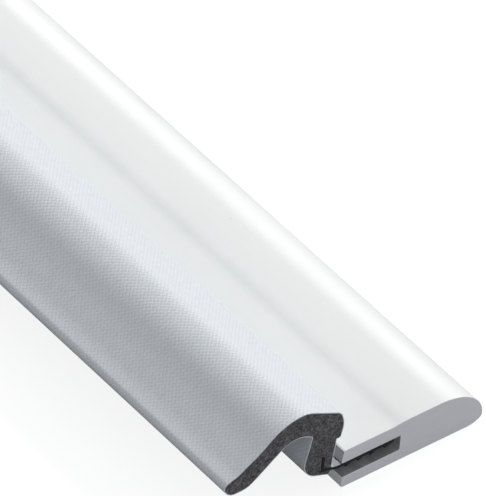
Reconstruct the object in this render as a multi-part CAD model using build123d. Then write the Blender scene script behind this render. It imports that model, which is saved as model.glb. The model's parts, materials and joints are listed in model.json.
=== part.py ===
"""Door seal strip: a rigid carrier with a kerf, and a wrapped foam seal pushed into the kerf.

Frame: the strip lies along Y, Z is up from its flat back, and X runs from the seal to the nose.
The origin is the centre of the carrier's flat back face. Every section is drawn in the XZ plane.
"""

from build123d import *
from math import cos, radians, tan
import os

# ---- Driving dimensions, mm and degrees -------------------------------------------------------

strip_length = 914.4

# Carrier
carrier_width = 28.6
carrier_thickness = 8.1
nose_height = 1.5        # height of the nose's foremost line above the back
nose_fall = 9.1          # how far back the top starts to fall towards the nose
nose_tuck = 3.2          # how far back the underside lifts off the flat back
dish_depth = 0.25        # the kerf side of the top lies this much under the rest
dish_width = 9.5
dish_ramp = 3.7
edge_radius = 0.3

# Kerf
kerf_gap = 3.0
kerf_depth = 11.6
kerf_floor = 2.25        # wall under the kerf
lip_overhang = 0.4       # how far the upper lip's lower edge leans out

# Insert spine
spine_thickness = 0.5
spine_end_room = 1.4     # from the stem's end to the kerf's inner wall
spine_straight = 1.0     # straight stretch of stem outside the kerf
spine_rise = 0.85        # the stem climbs this much on its way to the flange
flange_below = 0.3       # flange under and over the end of the stem's ramp
flange_above = 2.7
flange_offset = 4.2      # from the kerf's mouth to the flange's middle
barb_length = 1.8        # the stem's end has a wedge under it, like half an arrowhead
barb_drop = 0.5
kerf_clearance = 0.05    # stem and fins to the kerf's walls

# Grip fins
fin_count = 3
fin_first = 0.5          # from the kerf's mouth to the first fin's tip
fin_pitch = 2.5
fin_drop = 0.45          # the fins lie folded back, so they stand this little under the stem
fin_lean = 0.9           # how far a fin's tip trails towards the mouth
fin_thickness = 0.25

# Foam: leg
leg_offset = 2.75        # leg's face to the kerf's mouth, at the foot
leg_tilt = 0.8           # the leg's face leans towards the carrier by this much at the notch
foot_drop = 0.5          # the foot's lowest corner lies this much under the stem's middle
foot_width = 5.78
foot_rise = 2.25         # the foot's underside climbs this much away from the carrier
neck_width = 4.65
neck_height = 9.4        # stem's middle to the inside corner of leg and leaf
notch_height = 6.7       # stem's middle to the notch under the crown

# Foam: crown
crown_overhang = 0.75    # crown's lower edge past the leg's face
hem_drop = 0.2           # the crown's lower edge hangs this much under the notch
crown_bulge = 0.52       # crown's widest line past its lower edge
bulge_height = 2.55      # notch to the crown's widest line
shoulder_inset = 0.15    # shoulder behind the crown's lower edge
shoulder_height = 4.95   # notch to the shoulder
crown_run = 7.55         # level distance from the shoulder to the front corner of the top
crown_slope = 25.5
crown_back = 4.6         # from the front corner of the top to its back corner
crown_back_slope = 11.8
arch_offset = 10.7       # kerf's mouth to the arch under the crown
crown_depth = 3.2        # upright distance from the crown's top to the arch's corner

# Foam: leaf
root_run = 3.8           # level distances along the leaf's upper side
root_droop = 39.4
leaf_run = 4.3
leaf_droop = 32.0
tip_run = 3.0
tip_droop = 20.3
under_run = 8.75         # level distances along the leaf's underside
under_droop = 36.7
tip_under_run = 3.95

# Foam: roundings, in the order of the outline
foot_edge_radius = 0.4
foot_radius = 3.4
inside_corner_radius = 0.7
arch_radius = 5.0
tip_under_radius = 4.0
tip_end_radius = 2.2
tip_top_radius = 1.0
tip_bend_radius = 8.0
leaf_radius = 20.0
crown_back_radius = 9.0
crown_front_radius = 6.0
shoulder_radius = 2.2
bulge_radius = 4.0
hem_radius = 0.35
notch_radius = 0.25

# Film, cord and fold
film_thickness = 0.18
cord_diameter = 0.8
cord_offset = 4.3        # kerf's mouth to the cord
cord_height = 5.3        # stem's middle to the cord
cord_recess = 1.5        # the cut cord draws back this much into the foam at each end
fold_open = -12.0        # leaf lifted away from the leg
fold_shut = 56.0         # leaf pressed against the leg, short of touching it
fold_gap = 0.2           # gap round the leaf's root
fold_radius = 2.9        # knuckle at the leaf's root
fold_reach = 5.0         # length of leaf whose sweep is kept clear beside the knuckle
fold_drop = 0.5          # the crown's roundings lower its middle by this much

# ---- Places that follow -----------------------------------------------------------------------

flat_width = carrier_width - nose_tuck
mouth_x = -flat_width / 2
nose_x = mouth_x + carrier_width
kerf_top = kerf_floor + kerf_gap
stem_z = kerf_top - kerf_clearance - spine_thickness / 2
spine_reach = kerf_depth - spine_end_room
big = 4 * carrier_width


def out(u, v):
    """A point u outside the kerf's mouth and v above the stem's middle."""
    return (mouth_x - u, stem_z + v)


def prism(section, recess=0):
    """A section drawn as (x, z), run the length of the strip, less a recess at each end."""
    return extrude(Plane.XZ * section, amount=strip_length / 2 - recess, both=True)


def outline(points):
    """A closed face with its own radius at each corner."""
    corners = [point for point, radius in points]
    radii = [radius for point, radius in points]
    return make_face(FilletPolyline(*corners, radius=radii, close=True))


def write(shape, node):
    """One STEP file for each node."""
    shape.label = node
    export_step(shape, f"parts/{node}.step")


# ---- Carrier strip ----------------------------------------------------------------------------

# The carrier is one extrusion. Its two lips are nodes of their own, so that the kerf stays open.


def carrier_section():
    """Flat bar with a dished top, an uneven rounded nose and a kerf in its other edge."""
    rim = carrier_thickness - dish_depth
    nose_top = (nose_x - nose_fall, carrier_thickness)
    dish_end = (mouth_x + dish_width, rim)
    ramp_end = (mouth_x + dish_width + dish_ramp, carrier_thickness)
    lip_top = (mouth_x, rim)
    lip_foot = (mouth_x - lip_overhang, kerf_top)
    edges = [
        Line((mouth_x, 0), (mouth_x + flat_width, 0)),
        EllipticalCenterArc(
            (mouth_x + flat_width, nose_height), nose_tuck, nose_height, start_angle=270, arc_size=90
        ),
        EllipticalCenterArc(
            (nose_top[0], nose_height), nose_fall, carrier_thickness - nose_height, arc_size=90
        ),
        Line(nose_top, ramp_end),
        Spline(ramp_end, dish_end, tangents=[(-1, 0), (-1, 0)]),
        Line(dish_end, lip_top),
        Line(lip_top, lip_foot),
        Line(lip_foot, (mouth_x + kerf_depth, kerf_top)),
        Line((mouth_x + kerf_depth, kerf_top), (mouth_x + kerf_depth, kerf_floor)),
        Line((mouth_x + kerf_depth, kerf_floor), (mouth_x, kerf_floor)),
        Line((mouth_x, kerf_floor), (mouth_x, 0)),
    ]
    face = make_face(edges)
    for corner in [lip_top, lip_foot, (mouth_x, kerf_floor), (mouth_x, 0)]:
        vertex = face.vertices().sort_by_distance(corner)[0]
        face = fillet(vertex, edge_radius)
    return face


def lips_side(height):
    """Everything beside the kerf, on the seal's side of its inner wall, above a height."""
    corner = Pos(mouth_x + kerf_depth - big / 2, height + big / 2)
    return corner * Rectangle(big, big)


# ---- Insert spine and grip fins ---------------------------------------------------------------


def spine_section():
    """Stem in the kerf with a barbed end, a ramp up to the leg, and an upright flange in the foam."""
    path = Polyline(
        out(-spine_reach, 0), out(spine_straight, 0), out(flange_offset, spine_rise)
    )
    stem = trace(path, spine_thickness)
    flange_height = flange_below + flange_above
    flange_middle = spine_rise + (flange_above - flange_below) / 2
    flange = Pos(*out(flange_offset, flange_middle)) * Rectangle(spine_thickness, flange_height)
    under = -spine_thickness / 2
    barb = make_face(
        Polyline(
            out(-spine_reach, under),
            out(barb_length - spine_reach, under - barb_drop),
            out(barb_length - spine_reach, under),
            close=True,
        )
    )
    return stem + flange + barb


def fin_sections():
    """Short fins under the stem, folded back towards the mouth as they were pushed in."""
    top = stem_z - spine_thickness / 2
    tip = top - fin_drop
    fins = []
    for number in range(fin_count):
        edge = mouth_x + fin_first + number * fin_pitch
        fins.append(
            make_face(
                Polyline(
                    (edge, tip),
                    (edge + fin_thickness, tip),
                    (edge + fin_lean + fin_thickness, top),
                    (edge + fin_lean, top),
                    close=True,
                )
            )
        )
    return fins


# ---- Foam seal --------------------------------------------------------------------------------

notch_u = leg_offset - leg_tilt
side_u = notch_u - crown_overhang
shoulder = (side_u + shoulder_inset, notch_height + shoulder_height)


def further(point, run, angle):
    """The point a level distance further out, up at an angle, or down at a negative one."""
    return (point[0] + run, point[1] + run * tan(radians(angle)))


crown_front = further(shoulder, crown_run, crown_slope)
crown_end = further(crown_front, crown_back, -crown_back_slope)
leaf_start = further(crown_end, root_run, -root_droop)
tip_bend = further(leaf_start, leaf_run, -leaf_droop)
tip_top = further(tip_bend, tip_run, -tip_droop)
over_arch = further(crown_front, arch_offset - crown_front[0], -crown_back_slope)
arch = (arch_offset, over_arch[1] - crown_depth)
tip_under = further(arch, under_run, -under_droop)
tip_end = further(tip_under, tip_under_run, 0)


def foam_section():
    """The whole foam profile, leg, crown and leaf, as one outline."""
    return outline(
        [
            (out(leg_offset, -foot_drop), foot_edge_radius),
            (out(leg_offset + foot_width, foot_rise - foot_drop), foot_radius),
            (out(notch_u + neck_width, neck_height), inside_corner_radius),
            (out(*arch), arch_radius),
            (out(*tip_under), tip_under_radius),
            (out(*tip_end), tip_end_radius),
            (out(*tip_top), tip_top_radius),
            (out(*tip_bend), tip_bend_radius),
            (out(*leaf_start), leaf_radius),
            (out(*crown_end), crown_back_radius),
            (out(*crown_front), crown_front_radius),
            (out(*shoulder), shoulder_radius),
            (out(side_u - crown_bulge, notch_height + bulge_height), bulge_radius),
            (out(side_u, notch_height - hem_drop), hem_radius),
            (out(notch_u, notch_height), notch_radius),
        ]
    )


# The leaf bends at the crown, where its root is a round knuckle in a matching hollow.

fold_x, fold_z = out(arch_offset, over_arch[1] - crown_depth / 2 - fold_drop)


def knuckle(margin):
    """Round end of the leaf at the fold."""
    return Pos(fold_x, fold_z) * Circle(fold_radius + margin)


def leaf_side():
    """Everything on the leaf's side of the fold, with the knuckle."""
    return Pos(fold_x - big / 2, fold_z) * Rectangle(big, big) + knuckle(0)


def fold_room():
    """The room that the leaf sweeps at its root, from fully open to fully shut."""
    room = leaf_side() + knuckle(fold_gap)
    band = Pos(-fold_reach / 2, 0) * Rectangle(fold_reach, 2 * (fold_radius + fold_gap))
    for angle in (fold_open, fold_shut):
        room += Pos(fold_x, fold_z) * Rot(0, 0, under_droop + angle) * band
    return room


# ---- Assembly ---------------------------------------------------------------------------------

carrier = carrier_section()
spine = spine_section()
foam = foam_section()
film = offset(foam, film_thickness, kind=Kind.ARC) - foam
cord = Pos(*out(cord_offset, cord_height)) * Circle(cord_diameter / 2)

os.makedirs("parts", exist_ok=True)
write(prism(carrier - lips_side(-big / 2)), "carrier_strip")
write(prism(carrier & lips_side(kerf_floor + kerf_gap / 2)), "kerf_upper_lip")
write(prism((carrier & lips_side(-big / 2)) - lips_side(kerf_floor + kerf_gap / 2)), "kerf_lower_lip")
write(prism(spine), "insert_spine")
write(Compound([prism(fin) for fin in fin_sections()]), "grip_fins")
write(prism(cord, cord_recess), "stretch_cord")
write(prism(foam - fold_room() - spine - cord), "foam_leg")
write(prism(foam & leaf_side()), "foam_leaf")
write(prism(film - fold_room() - spine), "film_leg")
write(prism(film & leaf_side()), "film_leaf")
print("fold axis", round(fold_x, 4), round(fold_z, 4))
print("strip", strip_length, "flat back", flat_width, "kerf", kerf_gap, "by", kerf_depth)
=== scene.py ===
# %% [markdown]
# # A door seal strip, piece by piece
#
# A door seal strip closes the gap round a door. A stiff plastic carrier is fixed to the frame, and a
# soft foam seal is pushed into a slot in its edge. The slot is called a kerf. The foam wears a skin of
# thin woven film, so that it slides and keeps the weather out.
#
# The strip was drawn to size in a CAD program first. This lesson loads that drawing as a fixed frame and
# builds the finished looks around it. The frame is in metres. X runs from the seal to the carrier's nose,
# Y along the strip, and Z up from the flat back.

# %% Load the frame
import json
import math

import bmesh
import bpy
from mathutils import Matrix, Vector, noise
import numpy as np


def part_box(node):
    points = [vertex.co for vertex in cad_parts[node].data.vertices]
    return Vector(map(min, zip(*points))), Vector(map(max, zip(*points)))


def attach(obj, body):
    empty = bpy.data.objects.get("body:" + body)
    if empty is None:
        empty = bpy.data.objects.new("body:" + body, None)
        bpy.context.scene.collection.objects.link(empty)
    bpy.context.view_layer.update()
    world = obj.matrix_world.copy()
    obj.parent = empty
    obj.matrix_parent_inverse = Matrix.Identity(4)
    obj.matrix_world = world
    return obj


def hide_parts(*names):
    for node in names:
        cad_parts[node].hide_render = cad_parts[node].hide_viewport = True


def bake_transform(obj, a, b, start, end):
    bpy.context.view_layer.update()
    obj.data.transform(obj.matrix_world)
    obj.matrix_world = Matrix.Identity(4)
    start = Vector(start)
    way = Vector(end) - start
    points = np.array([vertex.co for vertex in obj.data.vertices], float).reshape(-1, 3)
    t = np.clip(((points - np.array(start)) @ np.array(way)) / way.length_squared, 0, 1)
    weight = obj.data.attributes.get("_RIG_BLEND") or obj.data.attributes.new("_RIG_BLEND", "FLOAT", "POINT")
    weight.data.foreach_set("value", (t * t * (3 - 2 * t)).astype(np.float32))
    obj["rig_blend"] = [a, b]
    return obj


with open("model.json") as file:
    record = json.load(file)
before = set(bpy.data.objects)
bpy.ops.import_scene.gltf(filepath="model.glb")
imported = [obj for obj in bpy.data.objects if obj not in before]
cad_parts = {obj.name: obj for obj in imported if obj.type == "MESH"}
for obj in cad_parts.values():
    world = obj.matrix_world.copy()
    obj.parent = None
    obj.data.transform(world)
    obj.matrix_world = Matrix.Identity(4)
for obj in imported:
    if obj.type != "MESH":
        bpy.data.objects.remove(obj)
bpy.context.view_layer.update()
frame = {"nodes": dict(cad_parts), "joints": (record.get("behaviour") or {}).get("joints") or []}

print("pieces in the drawing", sorted(frame["nodes"]))

# %% [markdown]
# Sections of a seal are drawn in millimetres on paper, so the outlines below are too. One number turns
# them into metres. Every outline is measured from one corner of the carrier, where the kerf's mouth meets
# the flat back, and that corner comes from the drawing's own boxes. A change of size in the drawing then
# moves everything that is built on it.

# %% Sizes that the drawing gives
MM = 0.001
lower_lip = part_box("kerf_lower_lip")
upper_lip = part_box("kerf_upper_lip")
solid_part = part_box("carrier_strip")
mouth_x = lower_lip[0].x
half_length = solid_part[1].y
length = 2 * half_length
width_mm = (solid_part[1].x - mouth_x) / MM
thickness_mm = solid_part[1].z / MM
kerf_floor_mm = lower_lip[1].z / MM
kerf_top_mm = upper_lip[0].z / MM
kerf_depth_mm = (solid_part[0].x - mouth_x) / MM
print("carrier", round(width_mm, 2), "by", round(thickness_mm, 2), "by", round(length / MM, 1), "mm")
print("kerf", round(kerf_top_mm - kerf_floor_mm, 2), "high and", round(kerf_depth_mm, 2), "deep")

# %% [markdown]
# ## Drawing a section
#
# Each piece here is one section pulled along a straight line, as plastic and foam leave their tools. What
# matters is that section: straight runs joined by rounded corners. Such an outline could be traced by hand
# with hundreds of points, but a few corners with a radius each say the same thing and stay easy to change.
#
# To round a corner, one vertex is put where the straight run ends, and Spin turns it about the middle of
# the rounding. Spin leaves a chain of edges behind it, and that chain is the arc.

# %% Round one corner with Spin
ARC_STEP = math.radians(5)


def round_corner(wire, before, corner, after, radius):
    """The vertices of one rounded corner, from the run before it to the run after it."""
    if radius <= 0:
        return [wire.verts.new(corner)]
    back = (before - corner).normalized()
    ahead = (after - corner).normalized()
    turn = math.pi - back.angle(ahead)
    middle = corner + (back + ahead).normalized() * radius / math.cos(turn / 2)
    first = wire.verts.new(corner + back * radius * math.tan(turn / 2))
    side = -1 if back.cross(ahead).y > 0 else 1
    steps = max(2, round(turn / ARC_STEP))
    count = len(wire.verts)
    bmesh.ops.spin(wire, geom=[first], cent=middle, axis=(0, 1, 0), angle=side * turn, steps=steps)
    wire.verts.ensure_lookup_table()
    return [first] + wire.verts[count:]


# %% Join the corners into an outline
def join_up(wire, chain, closed):
    """Edges between neighbours of a chain that have none yet."""
    nexts = chain[1:] + chain[:1] if closed else chain[1:]
    for here, after in zip(chain, nexts):
        if wire.edges.get((here, after)) is None:
            wire.edges.new((here, after))


def on_section(x, z):
    """A point of the section, given in millimetres from the carrier's corner, at the near cut end."""
    return Vector((mouth_x + x * MM, -half_length, z * MM))


def draw_outline(corners, closed=True):
    """Straight runs and rounded corners. An open outline keeps its two end points sharp."""
    wire = bmesh.new()
    points = [on_section(x, z) for x, z, radius in corners]
    chain = []
    for n, here in enumerate(points):
        after = points[(n + 1) % len(points)]
        is_end = not closed and n in (0, len(points) - 1)
        radius = 0 if is_end else corners[n][2] * MM
        chain += round_corner(wire, points[n - 1], here, after, radius)
    join_up(wire, chain, closed)
    return wire


# %% [markdown]
# The carrier and the foam are solid, so their closed outline is filled with one face, and Extrude pulls
# that face to the strip's length.

# %% Pull a closed outline to length
def pull_far(shape, pulled):
    """Moves what an extrusion has just made from the near cut end to the far one."""
    far = [v for v in pulled["geom"] if isinstance(v, bmesh.types.BMVert)]
    bmesh.ops.translate(shape, verts=far, vec=(0, length, 0))


def pull_solid(shape):
    """A solid bar from a closed outline, with its faces turned outwards."""
    bmesh.ops.contextual_create(shape, geom=shape.edges[:])
    pull_far(shape, bmesh.ops.extrude_face_region(shape, geom=shape.faces[:], use_keep_orig=True))
    bmesh.ops.recalc_face_normals(shape, faces=shape.faces[:])


# %% [markdown]
# A piece is finished in the same two steps each time: edges that are sharp on the real thing are kept
# sharp while the rest shade smoothly, and the mesh becomes an object.

# %% Turn a finished mesh into an object
def keep_sharp(shape, limit_degrees):
    """Smooth shading everywhere but across edges that turn by more than a limit."""
    for face in shape.faces:
        face.smooth = True
    for edge in shape.edges:
        edge.smooth = edge.calc_face_angle(math.pi) < math.radians(limit_degrees)


def make_piece(name, shape, materials):
    """An object at the origin that holds the shape, with its materials in order."""
    mesh = bpy.data.meshes.new(name)
    shape.to_mesh(mesh)
    shape.free()
    piece = bpy.data.objects.new(name, mesh)
    bpy.context.scene.collection.objects.link(piece)
    for material in materials:
        mesh.materials.append(material)
    print(name, "has", len(mesh.polygons), "faces")
    return piece


# %% [markdown]
# ## Materials
#
# Each material starts as a Principled BSDF with its plain values set on the shader itself. Only what
# changes over the surface comes in through nodes. Two small helpers keep the node code short: one starts
# a material, and one adds a node with its settings and its inputs in one go.

# %% Helpers for materials
def start_material(name, **values):
    """A new material, its nodes and its shader, with the shader's plain values set."""
    material = bpy.data.materials.new(name)
    material.use_nodes = True
    shader = material.node_tree.nodes["Principled BSDF"]
    for socket, value in values.items():
        shader.inputs[socket.replace("_", " ")].default_value = value
    return material, material.node_tree, shader


def feed(tree, socket, source):
    """Links a source node's output to a socket, or sets the socket to a plain value."""
    if isinstance(source, bpy.types.NodeSocket):
        tree.links.new(source, socket)
    else:
        socket.default_value = source


def add_node(tree, kind, inputs=(), **settings):
    """A node with its settings, and its inputs given as (name or number, source or value)."""
    node = tree.nodes.new(kind)
    for setting, value in settings.items():
        setattr(node, setting, value)
    for key, source in inputs:
        feed(tree, node.inputs[key], source)
    return node


def do_math(tree, operation, a, b=0.0):
    """One Math node's result."""
    return add_node(tree, "ShaderNodeMath", [(0, a), (1, b)], operation=operation).outputs[0]


def two_tone(tree, mask, dark, light, low=0.0, high=1.0):
    """A colour that goes from dark to light as a mask goes from low to high."""
    ramp = add_node(tree, "ShaderNodeValToRGB", [(0, mask)])
    ramp.color_ramp.elements[0].position = low
    ramp.color_ramp.elements[1].position = high
    ramp.color_ramp.elements[0].color = (*dark, 1)
    ramp.color_ramp.elements[1].color = (*light, 1)
    return ramp.outputs[0]


# %% [markdown]
# Two more steps end nearly every material. A mask shifts the roughness between two values, and a height
# goes through a Bump node into the normal.

# %% Gloss and bump
def set_gloss(tree, shader, mask, rough_low, rough_high, low=0.0, high=1.0):
    """Roughness that goes from one value to another as a mask goes from low to high."""
    inputs = [("Value", mask), ("From Min", low), ("From Max", high)]
    inputs += [("To Min", rough_low), ("To Max", rough_high)]
    gloss = add_node(tree, "ShaderNodeMapRange", inputs)
    feed(tree, shader.inputs["Roughness"], gloss.outputs[0])


def set_bump(tree, shader, height, strength, distance):
    """Small relief from a height, without moving the surface."""
    bump = add_node(
        tree, "ShaderNodeBump", [("Strength", strength), ("Distance", distance), ("Height", height)]
    )
    feed(tree, shader.inputs["Normal"], bump.outputs[0])


def object_noise(tree, scale, detail, stretch=None, turn=(0, 0, 0)):
    """Noise laid through the object's own space, and stretched or turned where that is asked for."""
    place = add_node(tree, "ShaderNodeTexCoord").outputs["Object"]
    if stretch:
        mapping = [("Vector", place), ("Rotation", turn), ("Scale", stretch)]
        place = add_node(tree, "ShaderNodeMapping", mapping).outputs[0]
    inputs = [("Vector", place), ("Scale", scale), ("Detail", detail)]
    return add_node(tree, "ShaderNodeTexNoise", inputs).outputs[0]


# %% [markdown]
# Plastic that is pushed through a die keeps the die's faint scratches as fine lines that run the length
# of the strip, with soft patches where it cooled unevenly. The carrier, the spine and the rubber fins are
# all made this way, so the effect is one node group. The lines are noise that is stretched along Y: the
# pattern changes quickly across the strip and hardly at all along it.

# %% A node group for the marks of the die
def add_socket(group, name, kind, side):
    """One named input or output of a node group."""
    return group.interface.new_socket(name=name, in_out=side, socket_type=kind)


def make_die_marks():
    """Fine lines along Y and soft patches, both as varying values round one half."""
    group = bpy.data.node_groups.new("die_marks", "ShaderNodeTree")
    add_socket(group, "Line Width", "NodeSocketFloat", "INPUT")
    add_socket(group, "Patch Size", "NodeSocketFloat", "INPUT")
    add_socket(group, "Lines", "NodeSocketFloat", "OUTPUT")
    add_socket(group, "Patches", "NodeSocketFloat", "OUTPUT")
    given = add_node(group, "NodeGroupInput")
    place = add_node(group, "ShaderNodeTexCoord")
    drawn = add_node(
        group, "ShaderNodeMapping", [("Vector", place.outputs["Object"]), ("Scale", (1, 0.004, 1))]
    )
    line_scale = do_math(group, "DIVIDE", 1.0, given.outputs["Line Width"])
    lines = add_node(
        group,
        "ShaderNodeTexNoise",
        [("Vector", drawn.outputs[0]), ("Scale", line_scale), ("Detail", 3.0), ("Roughness", 0.6)],
    )
    patch_scale = do_math(group, "DIVIDE", 1.0, given.outputs["Patch Size"])
    patches = add_node(
        group,
        "ShaderNodeTexNoise",
        [("Vector", place.outputs["Object"]), ("Scale", patch_scale), ("Detail", 4.0)],
    )
    result = add_node(group, "NodeGroupOutput")
    feed(group, result.inputs["Lines"], lines.outputs[0])
    feed(group, result.inputs["Patches"], patches.outputs[0])
    return group


die_marks = make_die_marks()
print("node group", die_marks.name)


# %% [markdown]
# The carrier is white rigid vinyl with a satin gloss. Its colour is close to white but not equal to it,
# since paper-white plastic has no room left for highlights. The faint die lines go to the height of a Bump
# node, the patches shift the gloss a little, and a sparse second noise leaves the odd speck of dust.

# %% Satin vinyl for the carrier
def satin_vinyl():
    """White plastic with faint die lines, patches of gloss and a little dust."""
    material, tree, shader = start_material("satin_vinyl", Specular_IOR_Level=0.4)
    marks = add_node(tree, "ShaderNodeGroup", node_tree=die_marks)
    marks.inputs["Line Width"].default_value = 0.7 * MM
    marks.inputs["Patch Size"].default_value = 12 * MM
    specks = object_noise(tree, scale=900.0, detail=1.0)
    clean = two_tone(tree, marks.outputs["Patches"], (0.87, 0.883, 0.876), (0.90, 0.91, 0.905), 0.3, 0.7)
    dust = two_tone(tree, specks, (1, 1, 1), (0.86, 0.86, 0.85), 0.8, 0.86)
    dusty = add_node(
        tree, "ShaderNodeMix", [(0, 1.0), (6, clean), (7, dust)], data_type="RGBA", blend_type="MULTIPLY"
    )
    feed(tree, shader.inputs["Base Color"], dusty.outputs[2])
    set_gloss(tree, shader, marks.outputs["Patches"], 0.40, 0.50, low=0.3, high=0.7)
    set_bump(tree, shader, marks.outputs["Lines"], strength=0.35, distance=0.02 * MM)
    return material


# %% [markdown]
# The strip was sawn to length, and the cut face is matt, a touch darker, and scored by the blade. It gets
# a material of its own on the end faces, with noise that is stretched across the cut instead of along it.

# %% Sawn vinyl for the cut ends
def sawn_vinyl():
    """Matt plastic with the strokes of the saw."""
    material, tree, shader = start_material("sawn_vinyl", Specular_IOR_Level=0.3)
    strokes = object_noise(tree, scale=2600.0, detail=3.0, stretch=(0.12, 1, 1), turn=(0, 0.35, 0))
    colour = two_tone(tree, strokes, (0.80, 0.805, 0.85), (0.825, 0.83, 0.875), 0.3, 0.7)
    feed(tree, shader.inputs["Base Color"], colour)
    set_gloss(tree, shader, strokes, 0.55, 0.75)
    set_bump(tree, shader, strokes, strength=0.5, distance=0.03 * MM)
    return material


# %% [markdown]
# The walls of the kerf and the face over its mouth lie deep in shade, and that shade is painted into
# them as a dark grey colour. The painted shade is noise that is stretched along the strip, in two
# shades of grey.

# %% Painted shade for the kerf
def painted_kerf_shade():
    """Plastic painted dark grey, as the shade inside the kerf and over its mouth."""
    material, tree, shader = start_material("painted_kerf_shade", Specular_IOR_Level=0.3)
    shade_streaks = object_noise(tree, scale=700.0, detail=4.0, stretch=(1, 0.15, 1))
    # Dark grey painted shade: these faces are darkened by their colour, not by the light.
    colour = two_tone(tree, shade_streaks, (0.24, 0.24, 0.245), (0.40, 0.40, 0.405), 0.3, 0.75)
    feed(tree, shader.inputs["Base Color"], colour)
    set_gloss(tree, shader, shade_streaks, 0.75, 0.45)
    return material


# %% [markdown]
# ## The carrier
#
# The carrier is one extrusion: a flat bar with a shallow dish in its top beside the seal, a kerf in one
# edge and a long rounded nose at the other. The drawing keeps its two lips as pieces of their own, but on
# the real strip there is no joint between them, so one new piece stands for all three.
#
# The nose isn't round. Its top falls away over a long quarter ellipse, and its underside over a small one.
# A quarter ellipse is a quarter circle that has been squeezed, so a unit vertex is spun through a right
# angle and then scaled by the two half axes.

# %% Quarter ellipses for the nose
NOSE_HEIGHT = 1.5
NOSE_FALL = 9.1
NOSE_TUCK = 3.2


def quarter_ellipse(wire, middle, start, across, up):
    """A quarter turn against the clock about a middle, from a start direction, scaled by two half axes."""
    count = len(wire.verts)
    first = wire.verts.new(start)
    turn = math.pi / 2
    steps = round(turn / ARC_STEP)
    bmesh.ops.spin(wire, geom=[first], cent=(0, 0, 0), axis=(0, 1, 0), angle=-turn, steps=steps)
    wire.verts.ensure_lookup_table()
    arc = wire.verts[count:]
    bmesh.ops.scale(wire, verts=arc, vec=(across * MM, 1, up * MM))
    bmesh.ops.translate(wire, verts=arc, vec=middle)
    return arc


# %% [markdown]
# The dish ends in a slope that rises a quarter of a millimetre. Its two corners have a radius so large
# that the roundings meet half way, which gives the slope the soft look of a press mark.

# %% The carrier's outline
DISH_DEPTH = 0.25
DISH_WIDTH = 9.5
DISH_RAMP = 3.7
LIP_LEAN = 0.4
EDGE_RADIUS = 0.3
KERF_CORNER = 0.12


def carrier_corners():
    """The corners from the flat back, round the kerf and over the dish, to where the nose starts."""
    rim = thickness_mm - DISH_DEPTH
    quarter = DISH_RAMP / 4
    ramp_radius = quarter / math.tan(math.atan(DISH_DEPTH / (2 * quarter)) / 2)
    return [
        (width_mm - NOSE_TUCK, 0, 0),
        (0, 0, EDGE_RADIUS),
        (0, kerf_floor_mm, EDGE_RADIUS),
        (kerf_depth_mm, kerf_floor_mm, KERF_CORNER),
        (kerf_depth_mm, kerf_top_mm, KERF_CORNER),
        (-LIP_LEAN, kerf_top_mm, EDGE_RADIUS),
        (0, rim, EDGE_RADIUS),
        (DISH_WIDTH + quarter, rim, ramp_radius),
        (DISH_WIDTH + DISH_RAMP - quarter, thickness_mm, ramp_radius),
        (width_mm - NOSE_FALL, thickness_mm, 0),
    ]


def draw_carrier():
    """The closed outline: the corners, then the nose's two quarter ellipses from top to bottom."""
    wire = draw_outline(carrier_corners(), closed=False)
    wire.verts.ensure_lookup_table()
    chain_start, chain_end = wire.verts[0], wire.verts[-1]
    under = quarter_ellipse(
        wire, on_section(width_mm - NOSE_TUCK, NOSE_HEIGHT), (0, 0, -1), NOSE_TUCK, NOSE_HEIGHT
    )
    nose_rise = thickness_mm - NOSE_HEIGHT
    over = quarter_ellipse(
        wire, on_section(width_mm - NOSE_FALL, NOSE_HEIGHT), (1, 0, 0), NOSE_FALL, nose_rise
    )
    join_up(wire, [chain_end] + over[::-1] + under[::-1] + [chain_start], closed=False)
    bmesh.ops.remove_doubles(wire, verts=wire.verts[:], dist=0.0001 * MM)
    return wire


# %% [markdown]
# The outline is pulled to length. The saw leaves a small clean bevel round both cut faces, which catches
# the light as a thin line. The cut faces then take the sawn material, and the walls of the kerf and the
# face over its mouth take the dark grey that paints their shade.

# %% Pull the carrier to length
CUT_BEVEL = 0.1 * MM
# How far past the kerf's wall and floor the painted shade reaches.
SHADE_PAST_WALL = 0.2
SHADE_PAST_FLOOR = 0.1


def is_cut_face(face):
    """Whether a face looks straight along the strip."""
    return abs(face.normal.y) > 0.99


def gets_painted_shade(face):
    """The kerf's floor, roof and inner wall, and the face over its mouth: the faces that get painted shade.
    """
    middle = face.calc_center_median()
    height_mm = middle.z / MM
    inside = mouth_x < middle.x < mouth_x + (kerf_depth_mm + SHADE_PAST_WALL) * MM
    between = kerf_floor_mm - SHADE_PAST_FLOOR < height_mm < kerf_top_mm + SHADE_PAST_FLOOR
    in_kerf = inside and between and abs(face.normal.y) < 0.5
    over_mouth = face.normal.x < -0.9 and height_mm > kerf_top_mm
    return in_kerf or over_mouth


def make_carrier():
    """The finished bar with its three materials."""
    shape = draw_carrier()
    pull_solid(shape)
    rims = [e for e in shape.edges if len([f for f in e.link_faces if is_cut_face(f)]) == 1]
    bmesh.ops.bevel(
        shape, geom=rims, offset=CUT_BEVEL, segments=2, profile=0.5, affect="EDGES", material=-1
    )
    keep_sharp(shape, limit_degrees=38)
    for face in shape.faces:
        if is_cut_face(face):
            face.material_index = 1
            face.smooth = False
        # The kerf's walls and the face over its mouth take the painted shade.
        elif gets_painted_shade(face):
            face.material_index = 2
    return make_piece("carrier", shape, [satin_vinyl(), sawn_vinyl(), painted_kerf_shade()])


carrier = make_carrier()
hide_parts("carrier_strip", "kerf_upper_lip", "kerf_lower_lip")
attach(carrier, "carrier")

# %% [markdown]
# ## The foam core
#
# The seal's inside is one piece of charcoal foam: a leg that stands on the spine, a fat crown over it, and
# a leaf that droops away and gets squeezed by the door. The drawing splits it where the leaf bends. Real
# foam has no joint there, so one piece stands for both and bends between the two bodies.

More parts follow.
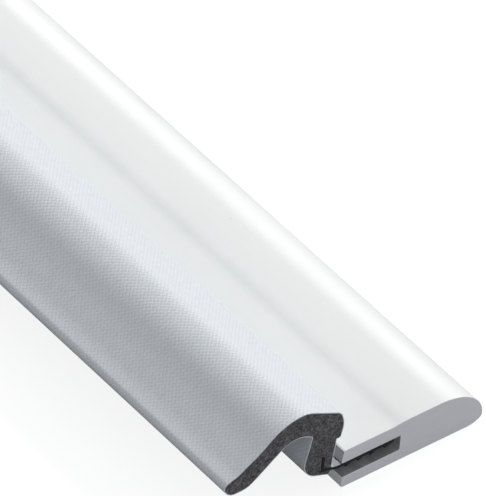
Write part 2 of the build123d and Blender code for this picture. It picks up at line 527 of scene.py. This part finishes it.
# %% The foam's corners
FOAM_CORNERS = [
    (-2.75, 4.45, 0.4),     # foot, beside the carrier
    (-8.53, 6.7, 3.4),      # foot, outer side
    (-6.6, 14.35, 0.7),     # inside corner between leg and leaf
    (-10.7, 16.62, 5.0),    # arch
    (-19.45, 10.1, 4.0),    # underside, where the tip starts
    (-22.95, 10.12, 2.2),   # tip
    (-24.6, 12.32, 1.0),    # tip, upper side
    (-21.6, 13.43, 8.0),    # where the tip flicks out
    (-17.3, 16.12, 20.0),   # middle of the leaf
    (-13.5, 19.24, 9.0),    # crown, towards the leaf
    (-8.9, 20.2, 6.0),      # crown, highest corner
    (-1.35, 16.6, 2.2),     # shoulder
    (-0.68, 14.2, 4.0),     # widest part of the crown's side
    (-1.2, 11.45, 0.35),    # lower edge of the crown
    (-1.95, 11.65, 0.25),   # notch between crown and leg
]

# %% [markdown]
# A cut through foam opens hundreds of small bubbles. A bump in the material would fade at the outline and
# on a copy of the bare mesh, so the cut faces get real pits. Bisect cuts the face into a fine grid, and
# each vertex of the grid is pushed in by how near it is to the middle of a bubble. A Voronoi pattern gives
# the bubbles their places, and two slower noises change their size and make the cut slightly wavy. Each
# pattern is read on a level of its own, so that the two cut ends don't look alike.
#
# The stretch cord is under a little tension when the strip is cut and draws back into the foam, so its
# hole is one deeper pit with the cord's end at the bottom.

# %% Pits in a cut face
GRID = 0.2 * MM
BUBBLE = 0.55 * MM
BUBBLE_EDGE = 0.62
SMALLEST_BUBBLE = 0.15
SIZE_PACE = 0.35
WAVE_PACE = 0.12
PIT_DEPTH = 0.34 * MM
CUT_WAVE = 0.12 * MM


def spot(place, pace, level):
    """A point of a pattern: x and z of the cut face at some pace of change, on a level of its own."""
    return Vector((place.x * pace, level, place.z * pace))


def pit_depth(point):
    """How far a point of the cut face lies under the cut."""
    far_end = 1 if point.y > 0 else 0
    place = point / BUBBLE
    nearest = noise.voronoi(spot(place, 1, far_end * 7.3))[0][0]
    size = 0.6 + 0.8 * noise.noise(spot(place, SIZE_PACE, far_end * 5.1))
    bubble = max(0.0, 1 - (nearest / BUBBLE_EDGE) ** 2) * max(SMALLEST_BUBBLE, size)
    wave = 0.5 + 0.5 * noise.noise(spot(place, WAVE_PACE, 3.7 + far_end))
    return PIT_DEPTH * bubble + CUT_WAVE * wave


cord_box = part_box("stretch_cord")
cord_middle = (cord_box[0] + cord_box[1]) / 2
cord_radius = (cord_box[1].x - cord_box[0].x) / 2
cord_recess = half_length - cord_box[1].y
print("the cord ends", round(cord_recess / MM, 2), "mm inside the cut")


def sink_cut_face(shape, rim_verts):
    """Pushes the grid's vertices in from both cut ends, and leaves the rim where it is."""
    for vert in shape.verts:
        if abs(abs(vert.co.y) - half_length) > GRID / 10 or vert in rim_verts:
            continue
        depth = pit_depth(vert.co)
        to_cord = math.hypot(vert.co.x - cord_middle.x, vert.co.z - cord_middle.z)
        if to_cord < cord_radius:
            depth = cord_recess
        vert.co.y -= math.copysign(depth, vert.co.y)


# %% Cut the foam into a fine grid
def cut_in_slices(shape, axis, low, high):
    """Parallel cuts through the whole piece, one grid step apart."""
    direction = Vector(axis)
    steps = int((high - low) / GRID)
    for n in range(1, steps + 1):
        bmesh.ops.bisect_plane(
            shape,
            geom=shape.verts[:] + shape.edges[:] + shape.faces[:],
            plane_co=direction * (low + n * GRID),
            plane_no=direction,
            dist=GRID / 50,
        )


def charcoal_foam():
    """Dark foam with open bubbles: painted shade darkens the pits, and the walls between them stay greyer.
    """
    material, tree, shader = start_material("charcoal_foam", Specular_IOR_Level=0.12, Roughness=0.95)
    place = add_node(tree, "ShaderNodeTexCoord")
    cells = add_node(
        tree, "ShaderNodeTexVoronoi", [("Vector", place.outputs["Object"]), ("Scale", 2400.0)]
    )
    clouds = object_noise(tree, scale=700.0, detail=5.0)
    # Darker at the middle of each Voronoi cell: painted shade in the pits, with the clouds adding random
    # tone.
    pit_shade_and_tone = do_math(tree, "MULTIPLY", cells.outputs["Distance"], clouds)
    colour = two_tone(tree, pit_shade_and_tone, (0.075, 0.072, 0.078), (0.21, 0.20, 0.212), 0.1, 0.45)
    feed(tree, shader.inputs["Base Color"], colour)
    set_bump(tree, shader, cells.outputs["Distance"], strength=0.7, distance=0.12 * MM)
    return material


def make_foam():
    """The foam bar with pits in both cut faces."""
    shape = draw_outline(FOAM_CORNERS)
    pull_solid(shape)
    caps = [f for f in shape.faces if is_cut_face(f)]
    bmesh.ops.triangulate(shape, faces=caps)
    xs = [v.co.x for v in shape.verts]
    zs = [v.co.z for v in shape.verts]
    cut_in_slices(shape, (1, 0, 0), min(xs), max(xs))
    cut_in_slices(shape, (0, 0, 1), min(zs), max(zs))
    rim = {v for v in shape.verts if any(not is_cut_face(f) for f in v.link_faces)}
    sink_cut_face(shape, rim)
    keep_sharp(shape, limit_degrees=60)
    return make_piece("foam_core", shape, [charcoal_foam()])


foam = make_foam()
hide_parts("foam_leg", "foam_leaf")

# %% [markdown]
# The leaf turns about a line in the drawing. Foam on the leg's side of that line stays with the seal, foam
# well out on the leaf goes with the leaf, and the stretch in between bends. The film that covers the foam
# has to bend in just the same way, so the two points are kept for it.

# %% Let the foam bend at the fold
BEND_INNER = 2.3 * MM
BEND_OUTER = 2.8 * MM

fold = next(j for j in frame["joints"] if j["name"] == "leaf_fold")
fold_line = Vector(fold["pos_m"])
BEND_START = fold_line + Vector((BEND_INNER, 0, 0))
BEND_END = fold_line - Vector((BEND_OUTER, 0, 0))
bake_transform(foam, "seal", "leaf", BEND_START, BEND_END)
print("the bend runs from x", round(BEND_START.x / MM, 2), "to", round(BEND_END.x / MM, 2), "mm")

# %% [markdown]
# ## The cover film
#
# The film is one sheet of fine woven polyethylene, wrapped round the foam from the stem, under the foot
# and round the leaf's tip, over the crown and back down to the stem. It could be a thicker copy of the
# foam, but then it would have no edges of its own. Here it is drawn as an open line that follows the foam
# a little way out, pulled to length, and given its thickness at the end, so both cut edges show.
#
# To follow the foam, each side of the outline moves outwards by the same distance. Where two moved sides
# meet is the new corner. Outward roundings grow by that distance and inward ones shrink.

# %% Move an outline outwards
SMALLEST_RADIUS = 0.03


def moved_out(corners, distance):
    """The corners of a clockwise outline after each side has moved out by a distance."""
    moved = []
    for n, (x, z, radius) in enumerate(corners):
        before = Vector(corners[n - 1][:2])
        after = Vector(corners[(n + 1) % len(corners)][:2])
        here = Vector((x, z))
        come = (here - before).normalized()
        leave = (after - here).normalized()
        out_come = Vector((-come.y, come.x))
        out_leave = Vector((-leave.y, leave.x))
        mitre = (out_come + out_leave).normalized()
        corner = here + mitre * distance / mitre.dot(out_come)
        bulges = come.x * leave.y - come.y * leave.x < 0
        new_radius = radius + distance if bulges else radius - distance
        moved.append((corner.x, corner.y, max(SMALLEST_RADIUS, new_radius)))
    return moved


# %% [markdown]
# The film's first edge lies on the leg's face, just under the stem. From there the film goes round the foot
# and the whole section. Its last edge comes down the leg's face from the crown and turns out along the top
# of the stem as a hem.

# %% The film's line
FILM_GAP = 0.02
FILM_THICKNESS = 0.16
TUCKED_EDGE = (-2.51, 4.98, 0)
HEM_CORNER = (-2.42, 5.74, 0.35)
HEM_BEND = (-1.0, 5.42, 1.0)
HEM_END = (-0.5, 5.42, 0)

around_foam = moved_out(FOAM_CORNERS, FILM_GAP + FILM_THICKNESS)
FILM_CORNERS = [TUCKED_EDGE] + around_foam + [HEM_CORNER, HEM_BEND, HEM_END]
LONGEST_RUN = 0.8 * MM
RINGS = 150


def measure_along(wire):
    """Walks the open line from its first vertex and writes the distance walked on every vertex."""
    around = wire.verts.layers.float.new("around")
    wire.verts.ensure_lookup_table()
    here, came_by, walked = wire.verts[0], None, 0.0
    while True:
        here[around] = walked
        onward = [e for e in here.link_edges if e is not came_by]
        if not onward:
            return walked
        came_by = onward[0]
        walked += came_by.calc_length()
        here = came_by.other_vert(here)


# %% [markdown]
# Film that is pulled round foam is never dead flat. It rises and falls by a few hundredths of a
# millimetre over two or three centimetres, and where it is cut the knife leaves an uneven edge. Both are
# moves of a few vertices along their normals or along the strip, read from smooth noise, so they are the
# same each time the script runs.

# %% Small unevenness of a stretched film
WAVE_HEIGHT = 0.05 * MM
WAVE_AROUND = 20 * MM
WAVE_ALONG = 35 * MM
CUT_UNEVEN = 0.09 * MM
NIBBLE_WIDTH = 1.7 * MM


def loosen(shape):
    """Slow waves over the film and an uneven cut at its two ends."""
    shape.normal_update()
    around = shape.verts.layers.float["around"]
    for vert in shape.verts:
        place = Vector((vert[around] / WAVE_AROUND, vert.co.y / WAVE_ALONG, 0.5))
        vert.co += vert.normal * WAVE_HEIGHT * noise.noise(place)
        if abs(abs(vert.co.y) - half_length) < GRID:
            nibble = noise.noise(Vector((vert[around] / NIBBLE_WIDTH, vert.co.y * 40, 2.5)))
            vert.co.y -= math.copysign(CUT_UNEVEN * (0.5 + nibble), vert.co.y)


# %% [markdown]
# The weave is a plain one, set across the strip at forty-five degrees. Its height is worked out from two
# distances: how far round the film, which was written on the vertices above, and how far along the strip.
# Adding and subtracting them turns the pattern by forty-five degrees. Each thread is the arch of a sine,
# and a chequer of the two decides which thread lies on top.

# %% A node group for the weave
def make_plain_weave():
    """The height of a plain weave from two distances and the pitch of its threads."""
    group = bpy.data.node_groups.new("plain_weave", "ShaderNodeTree")
    add_socket(group, "Around", "NodeSocketFloat", "INPUT")
    add_socket(group, "Along", "NodeSocketFloat", "INPUT")
    add_socket(group, "Pitch", "NodeSocketFloat", "INPUT")
    add_socket(group, "Height", "NodeSocketFloat", "OUTPUT")
    given = add_node(group, "NodeGroupInput")
    step = do_math(group, "MULTIPLY", given.outputs["Pitch"], math.sqrt(2) / math.pi)
    sides = []
    for operation in ("ADD", "SUBTRACT"):
        across = do_math(group, operation, given.outputs["Around"], given.outputs["Along"])
        sides.append(do_math(group, "SINE", do_math(group, "DIVIDE", across, step)))
    warp, weft = [do_math(group, "ABSOLUTE", side) for side in sides]
    chequer = do_math(group, "MULTIPLY", sides[0], sides[1])
    on_top = do_math(group, "GREATER_THAN", chequer, 0.0)
    half_top = do_math(group, "MULTIPLY", on_top, 0.5)
    warp_height = do_math(group, "MULTIPLY", warp, do_math(group, "ADD", half_top, 0.5))
    weft_height = do_math(group, "MULTIPLY", weft, do_math(group, "SUBTRACT", 1.0, half_top))
    height = do_math(group, "MAXIMUM", warp_height, weft_height)
    result = add_node(group, "NodeGroupOutput")
    feed(group, result.inputs["Height"], height)
    return group


WEAVE_PITCH = 0.6 * MM
plain_weave = make_plain_weave()
print("node group", plain_weave.name, "with a pitch of", round(WEAVE_PITCH / MM, 2), "mm")


def woven_film():
    """Pale blue-grey film: threads stand proud of the gaps, and the gaps are painted a little darker as
    shade.
    """
    material, tree, shader = start_material("woven_film", Specular_IOR_Level=0.35)
    place = add_node(tree, "ShaderNodeTexCoord")
    split = add_node(tree, "ShaderNodeSeparateXYZ", [(0, place.outputs["Object"])])
    around = add_node(tree, "ShaderNodeAttribute", attribute_name="around")
    weave = add_node(tree, "ShaderNodeGroup", node_tree=plain_weave)
    feed(tree, weave.inputs["Around"], around.outputs["Fac"])
    feed(tree, weave.inputs["Along"], split.outputs["Y"])
    weave.inputs["Pitch"].default_value = WEAVE_PITCH
    clouds = object_noise(tree, scale=900.0, detail=4.0)
    # Darker where the weave is low: painted shade in the gaps between threads, with a random mottle from the
    # clouds.
    gap_shade_and_mottle = do_math(tree, "MULTIPLY", clouds, weave.outputs["Height"])
    colour = two_tone(tree, gap_shade_and_mottle, (0.72, 0.757, 0.805), (0.80, 0.83, 0.87), 0.1, 0.5)
    feed(tree, shader.inputs["Base Color"], colour)
    set_gloss(tree, shader, clouds, 0.42, 0.6)
    set_bump(tree, shader, weave.outputs["Height"], strength=0.85, distance=0.05 * MM)
    return material


# %% Wrap the film
def make_film():
    """The film, and how wide it was before it was wrapped round the foam."""
    shape = draw_outline(FILM_CORNERS, closed=False)
    for edge in shape.edges[:]:
        cuts = math.ceil(edge.calc_length() / LONGEST_RUN) - 1
        if cuts > 0:
            bmesh.ops.subdivide_edges(shape, edges=[edge], cuts=cuts)
    width = measure_along(shape)
    pull_far(shape, bmesh.ops.extrude_edge_only(shape, edges=shape.edges[:]))
    long_edges = [e for e in shape.edges if e.calc_length() > length / 2]
    bmesh.ops.subdivide_edges(shape, edges=long_edges, cuts=RINGS - 1, use_grid_fill=True)
    bmesh.ops.recalc_face_normals(shape, faces=shape.faces[:])
    highest = max(shape.faces, key=lambda f: f.calc_center_median().z)
    if highest.normal.z < 0:
        bmesh.ops.reverse_faces(shape, faces=shape.faces[:])
    loosen(shape)
    bmesh.ops.solidify(shape, geom=shape.faces[:], thickness=FILM_THICKNESS * MM)
    keep_sharp(shape, limit_degrees=50)
    return make_piece("cover_film", shape, [woven_film()]), width


film, film_width = make_film()
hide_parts("film_leg", "film_leaf")
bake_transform(film, "seal", "leaf", BEND_START, BEND_END)
print("the film is cut", round(film_width / MM, 1), "mm wide")

# %% [markdown]
# ## Spine, fins and cord
#
# These three keep their shapes from the drawing, since a flat strip, three thin fins and a yarn are
# already right. Only their materials are new. The spine is black rigid plastic with the same die marks as
# the carrier. The fins are soft black rubber, duller and a little dusty.

# %% Black plastic and black rubber
def black_extrusion(name, dark, light, rough_low, rough_high, line_width):
    """Black pushed plastic or rubber with its own gloss and line width."""
    material, tree, shader = start_material(name, Specular_IOR_Level=0.4)
    marks = add_node(tree, "ShaderNodeGroup", node_tree=die_marks)
    marks.inputs["Line Width"].default_value = line_width
    marks.inputs["Patch Size"].default_value = 4 * MM
    colour = two_tone(tree, marks.outputs["Patches"], dark, light, 0.3, 0.7)
    feed(tree, shader.inputs["Base Color"], colour)
    set_gloss(tree, shader, marks.outputs["Patches"], rough_low, rough_high)
    set_bump(tree, shader, marks.outputs["Lines"], strength=0.4, distance=0.02 * MM)
    return material


def dress(node, material):
    """Gives a piece of the drawing its finished material."""
    mesh = frame["nodes"][node].data
    mesh.materials.clear()
    mesh.materials.append(material)
    print(node, "is made of", material.name)


spine_plastic = black_extrusion(
    "spine_plastic", (0.012, 0.012, 0.013), (0.03, 0.03, 0.032), 0.35, 0.6, 0.5 * MM
)
fin_rubber = black_extrusion(
    "fin_rubber", (0.03, 0.03, 0.034), (0.06, 0.06, 0.065), 0.6, 0.85, 0.4 * MM
)
dress("insert_spine", spine_plastic)
dress("grip_fins", fin_rubber)

# %% [markdown]
# The stretch cord is a thin glass yarn. Its plies wind round it, which a slanted wave shows well: the
# wave runs along the cord, and the height of the point on the cord shifts it.

# %% Twisted yarn
def glass_yarn():
    """Pale twisted yarn, with painted shade in the grooves between its plies."""
    material, tree, shader = start_material("glass_yarn", Specular_IOR_Level=0.5)
    place = add_node(tree, "ShaderNodeTexCoord")
    slanted = add_node(
        tree, "ShaderNodeMapping", [("Vector", place.outputs["Object"]), ("Rotation", (0.9, 0, 0))]
    )
    plies = add_node(
        tree,
        "ShaderNodeTexWave",
        [("Vector", slanted.outputs[0]), ("Scale", 260.0), ("Distortion", 0.6), ("Detail", 2.0)],
        bands_direction="Y",
    )
    # The colour follows the bump's wave, so the grooves between plies are painted darker as shade.
    colour = two_tone(tree, plies.outputs["Fac"], (0.3, 0.31, 0.3), (0.62, 0.63, 0.6))
    feed(tree, shader.inputs["Base Color"], colour)
    set_gloss(tree, shader, plies.outputs["Fac"], 0.7, 0.4)
    set_bump(tree, shader, plies.outputs["Fac"], strength=0.6, distance=0.1 * MM)
    return material


dress("stretch_cord", glass_yarn())

# %% [markdown]
# ## Floor, light and camera
#
# The strip lies on pale paper. A large plane does for that. White paper would also throw a lot of light up
# under the strip, and would wash out the underside and the kerf. The Light Path node tells a ray that
# comes straight from the camera from any other: the camera sees pale paper that glows, so that shadows
# stay faint, and every other ray meets a plain dark grey.

# %% Pale paper under the strip
FLOOR_SIZE = 6.0
FLOOR_DROP = 0.05 * MM
PAPER_GLOW = 0.85


def studio_paper():
    """Paper that the camera sees as nearly white, and that throws little light back on the strip."""
    material, tree, shader = start_material("studio_paper", Specular_IOR_Level=0.1, Roughness=0.9)
    fibres = object_noise(tree, scale=60.0, detail=5.0)
    paper = two_tone(tree, fibres, (0.30, 0.30, 0.30), (0.33, 0.33, 0.33))
    sight = add_node(tree, "ShaderNodeLightPath").outputs["Is Camera Ray"]
    grey = (0.22, 0.22, 0.23, 1)
    seen = add_node(
        tree, "ShaderNodeMix", [(0, sight), (6, grey), (7, paper)], data_type="RGBA"
    )
    feed(tree, shader.inputs["Base Color"], seen.outputs[2])
    shader.inputs["Emission Color"].default_value = (1, 1, 1, 1)
    feed(tree, shader.inputs["Emission Strength"], do_math(tree, "MULTIPLY", sight, PAPER_GLOW))
    return material


def make_floor():
    """A plane a hair under the strip's flat back."""
    shape = bmesh.new()
    bmesh.ops.create_grid(shape, x_segments=1, y_segments=1, size=FLOOR_SIZE)
    bmesh.ops.translate(shape, verts=shape.verts[:], vec=(0, 0, -FLOOR_DROP))
    return make_piece("floor", shape, [studio_paper()])


make_floor()

# %% [markdown]
# One large soft lamp stands to the right, above the nose, and does most of the work: the top of the
# carrier turns bright, and the leaf, which faces the other way, falls into a soft blue-grey. A weaker one
# faces the cut end. The world adds an even light from all round, so no side goes black.

# %% Lamps
LAMP_DISTANCE = 4.0


def add_lamp(name, direction, size, power, colour):
    """A square lamp that stands off in a direction and faces the strip."""
    lamp = bpy.data.lights.new(name, "AREA")
    lamp.size = size
    lamp.energy = power
    lamp.color = colour
    stand = bpy.data.objects.new(name, lamp)
    bpy.context.scene.collection.objects.link(stand)
    stand.location = Vector(direction).normalized() * LAMP_DISTANCE
    stand.rotation_euler = Vector(direction).to_track_quat("Z", "Y").to_euler()
    print(name, "with", power, "W")


add_lamp("key_lamp", (0.76, 0.25, 0.6), 2.0, 124, (1.0, 1.0, 0.99))
add_lamp("end_lamp", (-0.15, -1.0, 0.1), 1.0, 22, (0.96, 0.97, 1.0))

world = bpy.data.worlds.new("even_light")
bpy.context.scene.world = world
world.use_nodes = True
world.node_tree.nodes["Background"].inputs["Color"].default_value = (0.97, 0.985, 1.0, 1)
world.node_tree.nodes["Background"].inputs["Strength"].default_value = 0.45

# %% [markdown]
# A long lens from well back keeps the strip's edges almost parallel. The camera is turned in three steps,
# as on a tripod: round the strip, up, and a few degrees of roll. It is placed from the carrier's lowest
# near corner, which has to land a little right of and below the middle of the view.

# %% Camera
AZIMUTH = -41.12
ELEVATION = 41.31
ROLL = 5.0
DISTANCE = 1.5765
CORNER_RIGHT = 0.01543
CORNER_DOWN = 0.03781

camera_data = bpy.data.cameras.new("camera")
camera_data.sensor_width = 36
camera_data.lens = 725.8
camera_data.clip_start = 0.1
camera_data.clip_end = 12
camera = bpy.data.objects.new("camera", camera_data)
bpy.context.scene.collection.objects.link(camera)
turned = (
    Matrix.Rotation(math.radians(AZIMUTH), 4, "Z")
    @ Matrix.Rotation(math.radians(90 - ELEVATION), 4, "X")
    @ Matrix.Rotation(math.radians(ROLL), 4, "Z")
)
right, up, back = [turned.col[n].xyz for n in range(3)]
corner = on_section(0, 0)
camera.matrix_world = (
    Matrix.Translation(corner - right * CORNER_RIGHT + up * CORNER_DOWN + back * DISTANCE) @ turned
)
bpy.context.scene.camera = camera
bpy.context.scene.view_settings.view_transform = "Standard"
print("camera at", [round(v, 3) for v in camera.matrix_world.translation])
